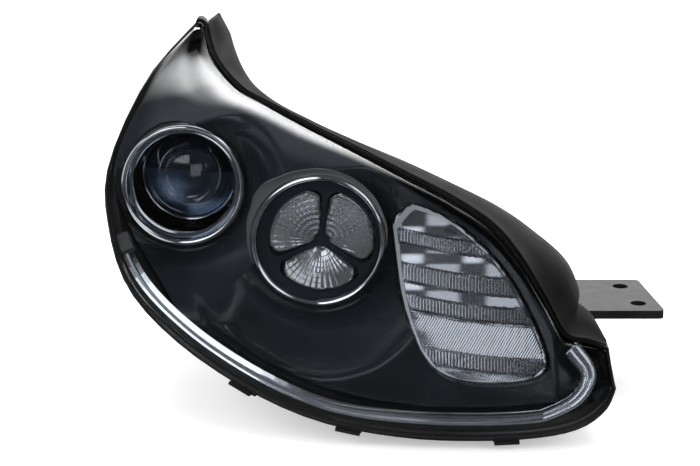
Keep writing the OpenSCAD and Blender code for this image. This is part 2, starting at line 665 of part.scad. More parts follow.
// ---- light bar ----
// Share of the way up the turned-up end of the bar
function guide_up(s) = max(0, (s - 0.8) / 0.2);
function guide_uv(s) =
    let(c = guide_up(s), u = 0.285 + 0.495 * min(s, 0.8) / 0.8, edge = 10 + 3.6 * smooth((u - 0.53) / 0.12))
    [u + 0.119 * sin(134 * c), edge / norm(flat(u, 1) - flat(u, 0)) + 0.565 * c + 0.16 * c * c];
function guide_path(s, d) = let(q = guide_uv(s)) under(q[0], q[1], d);
BAR_STEPS = [for (i = [0:44]) i / 44];
// Sections of a bar along the light bar's path; shape holds [across, into the lamp] places
function bar_sections(steps, d, shape, flare) =
    [for (s = steps)
        let(e = 0.01, t = unit(guide_path(min(s + e, 1), d) - guide_path(s - e, d)),
            f = facing(guide_uv(s)[0]), a = unit(cross(f, t)), b = cross(a, t),
            wide = 1 + flare * guide_up(s))
        [for (q = shape) guide_path(s, d) + q[0] * wide * a + q[1] * b]];

module light_guide() color([0.92, 0.94, 0.97, 0.5]) {
    ring = [for (k = [7:-1:0]) guide_r * [cos(45 * k), sin(45 * k)]];
    bar_solid(bar_sections(BAR_STEPS, 11.8, ring, 0.45));
}

module guide_rail() color([0.75, 0.76, 0.78]) {
    bar_solid(bar_sections(BAR_STEPS, 18.4, [[-4, 1], [4, 1], [4, -1], [-4, -1]], 0.45));
}

// It closes the outer end of the bar and feeds light into it
module guide_led_module() color([0.2, 0.2, 0.22]) {
    bar_solid(bar_sections([-0.036, -0.003], 12.8, [[-2.6, 3.2], [5.4, 3.2], [5.4, -3.2], [-2.6, -3.2]], 0));
}

// ---- mounting ----
module plate_2d() {
    offset(r = 4) offset(delta = -4)
        polygon([[-92, -26], [-76, -31], [-62, -40], [22, -40], [12, 39], [-92, 39]]);
}

module mounting_bracket() color([0.1, 0.1, 0.11]) {
    difference() {
        translate([0, 0, -plate_t]) linear_extrude(height = plate_t) plate_2d();
        for (side = [-1, 1]) {
            translate([side * HOLE_POS.x, side * HOLE_POS.y, -plate_t - 1])
                cylinder(r = hole_d / 2, h = plate_t + 2);
        }
        for (p = [[-68, -20], [-68, 22]]) {
            translate([p.x, p.y, -plate_t - 1]) cylinder(r = 3.1, h = plate_t + 2);
        }
    }
}

module bracket_screws() color([0.6, 0.61, 0.63]) {
    for (p = [[-68, -20], [-68, 22]]) {
        translate([p.x, p.y, 0.02]) cylinder(r = 6, h = 3.5);
        translate([p.x, p.y, -plate_t]) cylinder(r = 3, h = plate_t + 1);
    }
}

module mount_bushings() color([0.72, 0.72, 0.7]) {
    for (p = [OUTER_EAR, LOWER_EAR]) {
        along_y(p.x, p.y - 5, p.z) tube(4.2, 6, 10);
    }
}

// ---- electrics on the back ----
module connector_socket() color([0.07, 0.07, 0.08]) {
    difference() {
        box_at([CONNECTOR.x, CONNECTOR.y + 12.02, CONNECTOR.z], [40, 24, 24]);
        box_at([CONNECTOR.x, CONNECTOR.y + 15, CONNECTOR.z], [35, 20, 19]);
    }
}

module connector_pins() color([0.75, 0.7, 0.5]) {
    for (i = [-3:3], j = [-1, 1]) {
        box_at([CONNECTOR.x + 4.6 * i, CONNECTOR.y + 11.02, CONNECTOR.z + 4 * j], [1.2, 12, 1.2]);
    }
}

module vent_caps() color([0.1, 0.1, 0.1]) {
    for (v = VENTS) {
        along_y(v.x, v.y + 0.02, v.z) {
            cylinder(r = 9.5, h = 5);
            translate([0, 0, 5]) cylinder(r = 7.5, h = 2);
        }
    }
}

module led_driver() color([0.6, 0.61, 0.63]) {
    box_at([DRIVER.x, DRIVER.y + 4.02, DRIVER.z], [66, 8, 54]);
    for (k = [-5:5]) {
        box_at([DRIVER.x + 5 * k, DRIVER.y + 11, DRIVER.z], [1.8, 8, 46]);
    }
}

module driver_screws() color([0.6, 0.61, 0.63]) {
    for (i = [-1, 1], j = [-1, 1]) {
        along_y(DRIVER.x + 30 * i, DRIVER.y + 8.04, DRIVER.z + 24.5 * j)
            cylinder(r = 2.4, h = 2.2, $fn = 24);
    }
}

housing();
outer_lens();
lens_sealant();
lens_clips();
hood_seal();
bezel();
bezel_screws();
projector_collar();
frame_pivot_pins();
aim_frame();
yaw_pins();
lens_holder();
projector_lens();
lens_retainer();
projector_reflector();
low_beam_bulb();
bulb_clip();
holder_screws();
solenoid_body();
solenoid_plunger();
shutter_flap();
level_motor();
level_rod();
vertical_adjuster();
side_adjuster_housing();
side_stud();
side_adjuster();
low_beam_cap();
cap_seal();
high_beam_pod();
high_beam_ring();
high_beam_face();
petal_left();
petal_right();
petal_lower();
high_beam_board();
heat_sink();
turn_reflector();
turn_inner_lens();
turn_socket();
turn_bulb();
turn_seal();
light_guide();
guide_rail();
guide_led_module();
mounting_bracket();
bracket_screws();
mount_bushings();
connector_socket();
connector_pins();
vent_caps();
led_driver();
driver_screws();
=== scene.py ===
"""Car headlight assembly: the looks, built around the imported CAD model.

Shapes are worked out in millimetres in the row frame (+Z up, -Y towards the front of the car, +X towards
the grille) and go to Blender in metres. Fine shells, optics and trims replace their plain CAD solids.
"""

import functools
import json
import math

import bmesh
import bpy
import numpy as np
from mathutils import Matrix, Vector


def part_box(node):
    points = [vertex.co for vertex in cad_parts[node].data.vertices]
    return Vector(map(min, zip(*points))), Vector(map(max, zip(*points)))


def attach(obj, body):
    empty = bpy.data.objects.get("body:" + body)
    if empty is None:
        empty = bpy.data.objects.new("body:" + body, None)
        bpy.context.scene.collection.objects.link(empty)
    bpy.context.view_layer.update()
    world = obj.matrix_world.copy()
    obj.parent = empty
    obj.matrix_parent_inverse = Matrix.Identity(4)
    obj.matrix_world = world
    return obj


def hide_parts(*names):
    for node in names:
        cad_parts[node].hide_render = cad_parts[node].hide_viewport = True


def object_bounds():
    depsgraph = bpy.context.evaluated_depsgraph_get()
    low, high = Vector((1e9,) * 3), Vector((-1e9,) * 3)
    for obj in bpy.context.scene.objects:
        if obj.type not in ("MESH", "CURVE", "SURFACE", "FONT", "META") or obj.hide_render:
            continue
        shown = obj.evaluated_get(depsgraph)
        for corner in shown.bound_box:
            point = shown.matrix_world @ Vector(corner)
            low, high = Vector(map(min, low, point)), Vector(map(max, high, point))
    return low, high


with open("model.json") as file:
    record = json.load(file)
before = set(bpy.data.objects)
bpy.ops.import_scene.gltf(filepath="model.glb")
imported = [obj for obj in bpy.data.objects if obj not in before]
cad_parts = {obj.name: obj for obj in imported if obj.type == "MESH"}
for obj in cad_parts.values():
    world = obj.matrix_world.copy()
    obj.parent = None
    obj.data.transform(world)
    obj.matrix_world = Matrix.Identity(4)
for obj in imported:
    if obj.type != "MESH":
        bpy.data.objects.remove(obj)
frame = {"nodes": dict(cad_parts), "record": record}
cad_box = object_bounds()

MM = 0.001

# ---- driving shapes, the same as in the CAD ----
# Upper and lower edge of the lens, station by station from the swept-back tip to the grille end
RIM_TOP = np.array([[-333, 104, 193], [-324, 76, 171], [-302, 36, 154], [-277, 8, 146], [-246, -21, 136],
    [-212, -51, 126], [-176, -80, 114], [-145, -99, 102], [-117, -112, 86], [-98, -119, 65],
    [-80, -124, 36], [-64, -128, 9], [-46, -130, 4], [-34, -135, 1]], float)
RIM_LOW = np.array([[-336, 105, 192], [-375, 72, 151], [-399, 12, 99], [-396, -26, 62], [-378, -68, 27],
    [-341, -102, -2], [-290, -128, -29], [-237, -141, -49], [-180, -148, -58], [-131, -150, -60],
    [-85, -150, -58], [-54, -148, -52], [-36, -145, -40], [-29, -141, -26]], float)
CROWN = np.array([3, 13, 24, 29, 30, 29, 27, 25, 24, 22, 20, 16, 10, 5], float)
SEAL_W = np.array([6, 10.5, 4, 0, 0, 0.5, 1, 2, 4, 10, 21, 18, 10, 0], float)
SEAL_D = np.array([40, 46, 30, 10, 9, 12, 24, 26, 38, 54, 56, 50, 34, 7], float)
LENS_T = 3.0
SKIRT = 9.0
BEZEL_GAP = 12.0
BEZEL_PULL = 10.0
EDGE_ROLL = 7.0
OPENING_FIT = 0.4


def centre(node):
    low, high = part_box(node)
    return [(low[k] + high[k]) / 2 / MM for k in range(3)]


COLLAR = centre("projector_collar")
COLLAR_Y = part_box("projector_collar")[0][1] / MM
COLLAR_R = 47.0
PX, _, PZ = centre("projector_lens")
RING = centre("high_beam_ring")
RING_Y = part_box("high_beam_ring")[0][1] / MM
RING_R = 49.5
RING_W = 4.5
HX, HZ = RING[0], RING[2]
HUB_X = HX + 2.5
TURN = (-127.0, -112.0, 22.0)
TURN_LEAN = math.radians(18)
TURN_OUTLINE = [(-46, -78), (-58, -63), (-55, -38), (-52, -16), (-47, 5), (-39, 27), (-28, 42), (-10, 50),
    (19, 52), (44, 49), (53, 41), (51, 27), (40, 1), (26, -24), (12, -42), (-3, -56), (-17, -67), (-35, -75)]
# Half the width and half the height within which the outline is looked up
TURN_REACH = (62, 84)


# ---- maths ----
def smooth(x):
    c = min(max(x, 0.0), 1.0)
    return c * c * (3 - 2 * c)


def unit(v):
    return v / np.linalg.norm(v)


def cr(points, u):
    """Catmull-Rom curve through points, u from 0 to 1."""
    n = len(points) - 1
    x = min(max(u, 0.0), 1.0) * n
    i = min(int(x), n - 1)
    f = x - i
    a, b, c, d = points[max(i - 1, 0)], points[i], points[i + 1], points[min(i + 2, n)]
    square, cube = 2 * a - 5 * b + 4 * c - d, 3 * b - a - 3 * c + d
    return 0.5 * (2 * b + (c - a) * f + square * f * f + cube * f ** 3)


@functools.lru_cache(maxsize=None)
def station(u):
    """(lower edge, upper edge, outward direction, crown height) of the lens at u."""
    low, top = cr(RIM_LOW, u), cr(RIM_TOP, u)
    e = 0.03
    ahead, behind = min(u + e, 1.0), max(u - e, 0.0)
    along = (cr(RIM_LOW, ahead) + cr(RIM_TOP, ahead)) / 2 - (cr(RIM_LOW, behind) + cr(RIM_TOP, behind)) / 2
    n = np.cross(along, top - low)
    return low, top, unit(-n if n[1] > 0 else n), float(cr(CROWN, u))


def flat(u, v):
    low, top, _, _ = station(u)
    return low + (top - low) * v


def crown(v):
    return (1 - abs(2 * v - 1) ** 2.6) ** 0.6


def skin(u, v, inset=0.0):
    low, top, out, height = station(u)
    return low + (top - low) * v + out * (height * crown(v) - inset)


def chord(u):
    low, top, _, _ = station(u)
    return float(np.linalg.norm(top - low))


def pull_u(u, w):
    return 0.005 * w + (1 - 0.011 * w) * u


def pull_v(u, v, w):
    m = min(0.42, w / chord(u))
    return m + (1 - 2 * m) * v


def eased(n, ease=0.6):
    """n + 1 places from 0 to 1, closer together at both ends."""
    return [(1 - ease) * (k / n) + ease * (0.5 - 0.5 * math.cos(math.pi * k / n)) for k in range(n + 1)]


# ---- meshes ----
def new_piece(name, verts, faces, material, slot, body="root", replaces=(), sharp=38.0):
    mesh = bpy.data.meshes.new(name)
    mesh.from_pydata([tuple(float(c) * MM for c in v) for v in verts], [], faces)
    mesh.validate()
    mesh.update()
    bm = bmesh.new()
    bm.from_mesh(mesh)
    bmesh.ops.recalc_face_normals(bm, faces=bm.faces)
    bm.to_mesh(mesh)
    bm.free()
    return dress(bpy.data.objects.new(name, mesh), material, slot, body, replaces, sharp)


def dress(obj, material, slot, body="root", replaces=(), sharp=38.0):
    """Puts a piece in the scene with its material, body and the CAD nodes that it stands for; the slot is
    not used.
    """
    if obj.name not in bpy.context.scene.collection.objects:
        bpy.context.scene.collection.objects.link(obj)
    obj.data.materials.clear()
    obj.data.materials.append(material)
    obj.data.shade_smooth()
    obj.data.set_sharp_from_angle(angle=math.radians(sharp))
    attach(obj, body)
    if replaces:
        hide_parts(*replaces)
    return obj


def edge_places(us, vs):
    nu, nv = len(us) - 1, len(vs) - 1
    places = [(us[i], vs[0]) for i in range(nu)] + [(us[nu], vs[j]) for j in range(nv)]
    return places + [(us[i], vs[nv]) for i in range(nu, 0, -1)] + [(us[0], vs[j]) for j in range(nv, 0, -1)]


def outside(us, vs, w, d):
    rim = [skin(u, v) for u, v in edge_places(us, vs)]
    n = len(rim)
    loop = []
    for k in range(n):
        t = rim[(k + 1) % n] - rim[k - 1]
        loop.append(rim[k] + w * unit(np.array([t[2], 0, -t[0]])) + np.array([0, d, 0]))
    return loop


def inside(us, vs, w, d):
    loop = []
    for u, v in edge_places(us, vs):
        u = pull_u(u, w)
        loop.append(flat(u, pull_v(u, v, w)) + np.array([0, d, 0]))
    return loop


def skin_solid(us, vs, front, loops, back):
    """(points, faces) of a closed solid from a front grid, loops round its edge and a back grid."""
    nu, nv = len(us) - 1, len(vs) - 1
    rim = [i * (nv + 1) for i in range(nu)] + [nu * (nv + 1) + j for j in range(nv)]
    rim += [i * (nv + 1) + nv for i in range(nu, 0, -1)] + [j for j in range(nv, 0, -1)]
    n = len(rim)
    points = list(front)
    rows = [rim]
    for loop in loops:
        rows.append(list(range(len(points), len(points) + n)))
        points += loop
    far = len(points)
    points += list(back)
    rows.append([far + r for r in rim])
    faces = []
    for i in range(nu):
        for j in range(nv):
            a, b = i * (nv + 1) + j, (i + 1) * (nv + 1) + j
            faces.append((a, b, b + 1, a + 1))
            faces.append((far + a, far + a + 1, far + b + 1, far + b))
    for r in range(len(rows) - 1):
        for k in range(n):
            m = (k + 1) % n
            faces.append((rows[r][k], rows[r + 1][k], rows[r + 1][m], rows[r][m]))
    return points, faces


def grid(us, vs, place):
    return [place(u, v) for u in us for v in vs]


def lathe(profile, x, y, z, segments=144):
    """(points, faces) of a closed profile of (radius, y) turned about an axis along Y."""
    points, faces = [], []
    n = len(profile)
    for s in range(segments):
        a = math.radians(360.0 * s / segments)
        points += [(x + r * math.cos(a), y + d, z + r * math.sin(a)) for r, d in profile]
        t = (s + 1) % segments
        faces += [(s * n + k, s * n + (k + 1) % n, t * n + (k + 1) % n, t * n + k) for k in range(n)]
    return points, faces


def bar_faces(rows, n):
    """Faces of a bar with rows + 1 sections of n points each, closed at both ends."""
    faces = []
    for r in range(rows):
        near, far = r * n, (r + 1) * n
        faces += [(near + k, near + (k + 1) % n, far + (k + 1) % n, far + k) for k in range(n)]
    return faces + [tuple(range(n)), tuple(reversed(range(rows * n, (rows + 1) * n)))]


def joined(parts):
    """One (points, faces) from several."""
    points, faces = [], []
    for p, f in parts:
        base = len(points)
        points += list(p)
        faces += [tuple(base + i for i in face) for face in f]
    return points, faces


def turn_place(x, down, depth):
    """A place in the turn signal's leaning frame: across, down and into the lamp."""
    s, c = math.sin(TURN_LEAN), math.cos(TURN_LEAN)
    return np.array([TURN[0] + x, TURN[1] + depth * c - down * s, TURN[2] - down * c - depth * s])


# ---- materials ----
class Shader:
    """A Principled material with a few noise-driven inputs."""

    def __init__(self, name, colour, roughness=0.5, **sockets):
        self.mat = bpy.data.materials.new(name)
        self.mat.use_nodes = True
        self.tree = self.mat.node_tree
        self.bsdf = next(n for n in self.tree.nodes if n.type == "BSDF_PRINCIPLED")
        self.out = next(n for n in self.tree.nodes if n.type == "OUTPUT_MATERIAL")
        self.set("Base Color", (*colour, 1.0))
        self.set("Roughness", roughness)
        for key, value in sockets.items():
            self.set(key.replace("_", " "), value)

    def set(self, socket, value):
        self.bsdf.inputs[socket].default_value = value

    def node(self, kind, **values):
        n = self.tree.nodes.new(kind)
        for key, value in values.items():
            if key in n.inputs:
                n.inputs[key].default_value = value
            else:
                setattr(n, key, value)
        return n

    def link(self, a, b):
        self.tree.links.new(a, b)

    def place(self):
        return self.node("ShaderNodeTexCoord").outputs["Object"]

    def noise(self, scale, detail=4.0):
        n = self.node("ShaderNodeTexNoise", Scale=scale, Detail=detail)
        self.link(self.place(), n.inputs["Vector"])
        return n.outputs["Fac"]

    def vary_colour(self, scale, low, high):
        ramp = self.node("ShaderNodeValToRGB")
        ramp.color_ramp.elements[0].position = 0.3
        ramp.color_ramp.elements[1].position = 0.7
        ramp.color_ramp.elements[0].color = (*low, 1.0)
        ramp.color_ramp.elements[1].color = (*high, 1.0)
        self.link(self.noise(scale), ramp.inputs["Fac"])
        self.link(ramp.outputs["Color"], self.bsdf.inputs["Base Color"])
        return self

    def vary_roughness(self, scale, low, high):
        span = self.node("ShaderNodeMapRange")
        span.inputs["To Min"].default_value = low
        span.inputs["To Max"].default_value = high
        self.link(self.noise(scale), span.inputs["Value"])
        self.link(span.outputs["Result"], self.bsdf.inputs["Roughness"])
        return self

    def bump(self, scale, strength, distance):
        b = self.node("ShaderNodeBump", Strength=strength, Distance=distance)
        self.link(self.noise(scale, 3.0), b.inputs["Height"])
        self.link(b.outputs["Normal"], self.bsdf.inputs["Normal"])
        return self

    def lets_lamps_through(self):
        """Light from the lamps passes straight through the clear wall."""
        rays = self.node("ShaderNodeLightPath")
        clear = self.node("ShaderNodeBsdfTransparent")
        clear.inputs["Color"].default_value = (1.0, 1.0, 1.0, 1.0)
        mix = self.node("ShaderNodeMixShader")
        self.link(rays.outputs["Is Shadow Ray"], mix.inputs["Fac"])
        self.link(self.bsdf.outputs["BSDF"], mix.inputs[1])
        self.link(clear.outputs["BSDF"], mix.inputs[2])
        self.link(mix.outputs["Shader"], self.out.inputs["Surface"])
        return self


def make_materials():
    m = {}
    m["lens"] = Shader("clear_polycarbonate", (0.98, 0.99, 1.0), 0.01, Transmission_Weight=1.0, IOR=1.45)
    m["lens"].vary_roughness(30.0, 0.0, 0.02).lets_lamps_through()
    m["optic_glass"] = Shader("projector_glass", (0.33, 0.4, 0.52), 0.0, Transmission_Weight=1.0, IOR=1.52,
        Coat_Weight=0.6, Coat_IOR=1.8, Coat_Roughness=0.01)
    m["optic_glass"].vary_roughness(60.0, 0.0, 0.015).lets_lamps_through()
    m["clear_optic"] = Shader("clear_optic", (0.47, 0.49, 0.53), 0.1, Metallic=0.9)
    m["clear_optic"].vary_roughness(200.0, 0.05, 0.14)
    m["petal_optic"] = Shader("petal_optic", (0.56, 0.57, 0.6), 0.1, Metallic=0.9)
    m["petal_optic"].vary_roughness(260.0, 0.05, 0.14)
    m["bezel"] = Shader("gloss_black", (0.006, 0.007, 0.009), 0.2, Specular_IOR_Level=0.35)
    m["bezel"].vary_colour(9.0, (0.003, 0.004, 0.0045), (0.011, 0.014, 0.018))
    m["bezel"].vary_roughness(40.0, 0.14, 0.26)
    m["navy"] = Shader("gloss_navy", (0.008, 0.012, 0.017), 0.18, Specular_IOR_Level=0.4)
    m["navy"].vary_colour(18.0, (0.007, 0.010, 0.014), (0.011, 0.015, 0.021))
    m["navy"].vary_roughness(40.0, 0.12, 0.24)
    m["cheek"] = Shader("satin_grey", (0.2, 0.205, 0.215), 0.3, Metallic=0.6)
    m["cheek"].vary_roughness(50.0, 0.16, 0.3)
    m["chrome"] = Shader("chrome_trim", (0.86, 0.87, 0.89), 0.06, Metallic=1.0)
    m["chrome"].vary_roughness(35.0, 0.03, 0.1)
    m["reflector"] = Shader("metallised", (0.72, 0.74, 0.78), 0.1, Metallic=1.0)
    m["reflector"].vary_roughness(80.0, 0.06, 0.16)
    m["housing"] = Shader("moulded_black", (0.008, 0.008, 0.009), 0.5, Specular_IOR_Level=0.4)
    m["housing"].vary_colour(22.0, (0.006, 0.006, 0.007), (0.012, 0.012, 0.013))
    m["housing"].vary_roughness(60.0, 0.38, 0.58).bump(900.0, 0.35, 0.0002)
    m["rubber"] = Shader("soft_rubber", (0.007, 0.007, 0.007), 0.7, Specular_IOR_Level=0.2)
    m["rubber"].vary_colour(35.0, (0.005, 0.005, 0.005), (0.010, 0.010, 0.010))
    m["rubber"].vary_roughness(70.0, 0.5, 0.72).bump(600.0, 0.3, 0.0002)
    m["dark"] = Shader("dark_plastic", (0.035, 0.035, 0.038), 0.45)
    m["dark"].vary_colour(25.0, (0.028, 0.028, 0.031), (0.045, 0.045, 0.049)).bump(1100.0, 0.25, 0.0002)
    m["white"] = Shader("ivory_plastic", (0.62, 0.61, 0.56), 0.4, Subsurface_Weight=0.05)
    m["white"].vary_colour(30.0, (0.58, 0.57, 0.52), (0.66, 0.65, 0.6)).vary_roughness(80.0, 0.32, 0.5)
    m["steel"] = Shader("zinc_steel", (0.6, 0.61, 0.62), 0.3, Metallic=1.0)
    m["steel"].vary_colour(60.0, (0.5, 0.51, 0.52), (0.66, 0.67, 0.68)).vary_roughness(120.0, 0.22, 0.42)
    m["black_metal"] = Shader("black_painted_metal", (0.03, 0.03, 0.032), 0.35, Metallic=0.2)
    m["black_metal"].vary_colour(30.0, (0.022, 0.022, 0.024), (0.036, 0.036, 0.038))
    m["black_metal"].bump(500.0, 0.2, 0.0002)
    m["bracket"] = Shader("powder_coat", (0.01, 0.01, 0.011), 0.42, Specular_IOR_Level=0.35)
    m["bracket"].vary_colour(25.0, (0.007, 0.007, 0.008), (0.014, 0.014, 0.015))
    m["bracket"].vary_roughness(90.0, 0.34, 0.5).bump(700.0, 0.35, 0.0003)
    m["aluminium"] = Shader("cast_aluminium", (0.52, 0.53, 0.55), 0.42, Metallic=0.95)
    m["aluminium"].vary_colour(40.0, (0.45, 0.46, 0.48), (0.58, 0.59, 0.61)).bump(450.0, 0.45, 0.0003)
    m["board"] = Shader("circuit_board", (0.02, 0.13, 0.06), 0.35, Coat_Weight=0.3)
    m["board"].vary_colour(120.0, (0.012, 0.09, 0.04), (0.03, 0.17, 0.08))
    m["amber"] = Shader("amber_bulb", (0.95, 0.42, 0.05), 0.03, Transmission_Weight=0.7, IOR=1.45)
    m["amber"].vary_roughness(60.0, 0.02, 0.08)
    m["quartz"] = Shader("bulb_glass", (0.95, 0.95, 0.92), 0.02, Transmission_Weight=0.7, IOR=1.45)
    m["quartz"].vary_roughness(60.0, 0.0, 0.05)
    m["contact"] = Shader("tinned_brass", (0.72, 0.6, 0.36), 0.25, Metallic=1.0)
    m["contact"].vary_roughness(90.0, 0.2, 0.35)
    m["sealant"] = Shader("hot_melt", (0.012, 0.012, 0.012), 0.3)
    m["sealant"].vary_roughness(70.0, 0.22, 0.4).bump(220.0, 0.4, 0.0004)
    return {key: value.mat for key, value in m.items()}


# The look of each CAD material slot
SLOT_LOOKS = {
    "housing_plastic": "housing", "clear_lens": "lens", "sealant": "sealant", "clip_plastic": "housing",
    "seal_rubber": "rubber", "bezel_gloss": "bezel", "bright_steel": "steel", "chrome_trim": "chrome",
    "black_metal": "black_metal", "optic_glass": "optic_glass", "bright_reflector": "reflector",
    "quartz": "quartz", "white_plastic": "white", "navy_gloss": "navy", "clear_optic": "clear_optic",
    "board_green": "board", "cast_aluminium": "aluminium", "amber_glass": "amber",
    "contact_metal": "contact", "bracket_metal": "bracket", "dark_plastic": "dark",
}


def dress_cad_nodes(looks):
    """Every carried-over CAD node gets the finish of its material slot."""
    for part in frame["record"]["subparts"]:
        node = frame["nodes"][part["node"]]
        look = looks[SLOT_LOOKS[part["material_slot"]]]
        node.data.materials.clear()
        node.data.materials.append(look)
        for s in node.material_slots:
            s.material = look


# ---- shells ----
def outer_lens(looks):
    us, vs = eased(150, 0.35), eased(56)

    def inner(u, v):
        u = pull_u(u, LENS_T)
        return skin(u, pull_v(u, v, LENS_T), LENS_T)

    points, faces = skin_solid(us, vs, grid(us, vs, skin),
        [outside(us, vs, 0, SKIRT), inside(us, vs, LENS_T, SKIRT)], grid(us, vs, inner))
    new_piece("lens_shell", points, faces, looks["lens"], "clear_lens", replaces=["outer_lens"])


def dish(p, x, z, y, r_in, r_out):
    k = smooth((r_out - math.hypot(p[0] - x, p[2] - z)) / (r_out - r_in))
    return np.array([p[0], p[1] + (max(p[1], y) - p[1]) * k, p[2]])


def under(u, v, d):
    """A place d behind the lens: straight back at its edges, square to it in the middle."""
    low, top, out, height = station(u)
    c = crown(v)
    return low + (top - low) * v + out * ((height - d) * c) + np.array([0, d * (1 - c), 0])


def bezel_point(u, v):
    """The bezel's front face: it follows the lens and sinks to the projector, the high beam and the bar."""
    shelf = max(smooth((26 - v * chord(u)) / 7), smooth((u - 0.8) / 0.02)) * smooth((u - 0.19) / 0.05)
    shelf *= 1 - 0.85 * smooth((u - 0.875) / 0.03) * (1 - smooth((v - 0.3) / 0.1))
    p = under(u, v, BEZEL_GAP + 11 * shelf)
    p = dish(p, COLLAR[0], PZ, COLLAR_Y + 5, 50, 84)
    return dish(p, HX, HZ, RING_Y + 6, 53, 84)


def snap_out(p, hole):
    """Moves a place that is inside a round hole, or just outside it, to the hole's edge."""
    x, z, r = hole
    away = np.array([p[0] - x, 0.0, p[2] - z])
    return p + away * (r / max(np.linalg.norm(away), 1e-6) - 1)


def turn_local(p):
    """Across and down in the turn signal's leaning frame."""
    s, c = math.sin(TURN_LEAN), math.cos(TURN_LEAN)
    return p[0] - TURN[0], -(p[1] - TURN[1]) * s - (p[2] - TURN[2]) * c


def nearest_on(outline, x, y):
    """(distance, nearest place) from a closed outline, negative inside it."""
    best, crossings = (1e9, None), 0
    for (x0, y0), (x1, y1) in zip(outline, outline[1:] + outline[:1]):
        t = ((x - x0) * (x1 - x0) + (y - y0) * (y1 - y0)) / ((x1 - x0) ** 2 + (y1 - y0) ** 2)
        t = min(max(t, 0), 1)
        px, py = x0 + t * (x1 - x0), y0 + t * (y1 - y0)
        best = min(best, (math.hypot(x - px, y - py), (px, py)))
        if (y0 > y) != (y1 > y) and x < x0 + (y - y0) * (x1 - x0) / (y1 - y0):
            crossings += 1
    return (-best[0] if crossings % 2 else best[0]), best[1]


def bezel_cuts():
    """The round openings as (x, z, radius), and the turn signal's outline in its own frame."""
    holes = [(COLLAR[0], PZ, COLLAR_R + OPENING_FIT), (HX, HZ, RING_R + OPENING_FIT)]
    return holes, [(1.012 * x, 1.012 * y) for x, y in smooth_outline(TURN_OUTLINE)]


def cut_away(p, holes, outline):
    """True for a place inside one of the bezel's openings."""
    if any(math.hypot(p[0] - x, p[2] - z) < r for x, z, r in holes):
        return True
    x, y = turn_local(p)
    return abs(x) < TURN_REACH[0] and abs(y) < TURN_REACH[1] and nearest_on(outline, x, y)[0] < 0


def to_opening_edge(p, holes, outline):
    """A place inside an opening, moved to the opening's edge."""
    for x, z, r in holes:
        if math.hypot(p[0] - x, p[2] - z) < r:
            return snap_out(p, (x, z, r))
    x, y = turn_local(p)
    nx, ny = nearest_on(outline, x, y)[1]
    return p + turn_place(nx, ny, 0) - turn_place(x, y, 0)


def open_edges(faces):
    """Edges that only one face has."""
    edges = {(a, b) for face in faces for a, b in zip(face, face[1:] + face[:1])}
    return [(a, b) for face in faces for a, b in zip(face, face[1:] + face[:1]) if (b, a) not in edges]


def bezel(looks):
    """One thin moulding, with its openings cut out of the grid and rolled back round their edges."""
    us, vs = eased(240, 0.2), eased(110, 0.4)
    nv = len(vs)
    front = [bezel_point(pull_u(u, BEZEL_PULL), pull_v(pull_u(u, BEZEL_PULL), v, BEZEL_PULL))
        for u in us for v in vs]
    holes, outline = bezel_cuts()
    gone = {k for k, p in enumerate(front) if cut_away(p, holes, outline)}
    quads = []
    for i in range(len(us) - 1):
        for j in range(nv - 1):
            quad = (i * nv + j, (i + 1) * nv + j, (i + 1) * nv + j + 1, i * nv + j + 1)
            if not all(k in gone for k in quad):
                quads.append(quad)
    used = sorted({k for quad in quads for k in quad})
    for k in used:
        if k in gone:
            front[k] = to_opening_edge(front[k], holes, outline)
    keep = {k: n for n, k in enumerate(used)}
    points = [front[k] for k in used]
    faces = [tuple(keep[k] for k in quad) for quad in quads]
    # Every open edge is turned back into the lamp, so that the moulding looks thick
    rim = open_edges(faces)
    backs = {k: len(points) + m for m, k in enumerate(sorted({k for edge in rim for k in edge}))}
    points += [points[k] + np.array([0, EDGE_ROLL, 0]) for k in sorted(backs)]
    faces += [(b, a, backs[a], backs[b]) for a, b in rim]
    obj = new_piece("bezel_panel", points, faces, looks["bezel"], "bezel_gloss", replaces=["bezel"],
        sharp=30.0)
    thick = obj.modifiers.new("thickness", "SOLIDIFY")
    thick.thickness = 1.4 * MM
    thick.offset = -1.0


def smooth_outline(outline):
    """A closed outline with its corners rounded by cutting them three times."""
    pts = [np.array(p, float) for p in outline]
    for _ in range(3):
        pts = [q for a, b in zip(pts, pts[1:] + pts[:1]) for q in (0.75 * a + 0.25 * b, 0.25 * a + 0.75 * b)]
    return [(float(p[0]), float(p[1])) for p in pts]


def hood_seal(looks):
    """The soft rubber shelf along the upper edge, slightly rippled towards the tip."""
    points = []
    steps = 150
    for i in range(steps + 1):
        u = 0.005 + 0.985 * i / steps
        e = 0.015
        p = flat(u, 1.0)
        t = cr(RIM_TOP, min(u + e, 1.0)) - cr(RIM_TOP, max(u - e, 0.0))
        n = unit(np.array([-t[2], 0, t[0]]))
        w, d = float(cr(SEAL_W, u)), float(cr(SEAL_D, u))
        ripple = 0.5 * math.sin(70 * u) * smooth((0.5 - u) / 0.4)
        # Section as (above the rim, behind it): a grooved lip in front, the bulge, and the underside
        section = [(3.1, 2.6), (3.3, 1.0), (3.9, 0.2), (4.6, 0.4), (4.9, 1.4), (5.0, 0.08 * d + 1.6),
            (5.2 + 0.4 * w + ripple, 0.3 * d + 1), (5.5 + 0.7 * w + ripple, 0.52 * d),
            (5.4 + 0.9 * w, 0.8 * d), (5 + w, 0.985 * d), (4.4 + w, d), (3.6 + w, d), (3.2 + w, 0.96 * d),
            (3.2 + 0.7 * w, 0.8 * d), (3.1, 0.45 * d)]
        points += [p + above * n + np.array([0, behind, 0]) for above, behind in section]
    new_piece("hood_seal_strip", points, bar_faces(steps, len(section)), looks["rubber"], "seal_rubber",
        replaces=["hood_seal"], sharp=50)


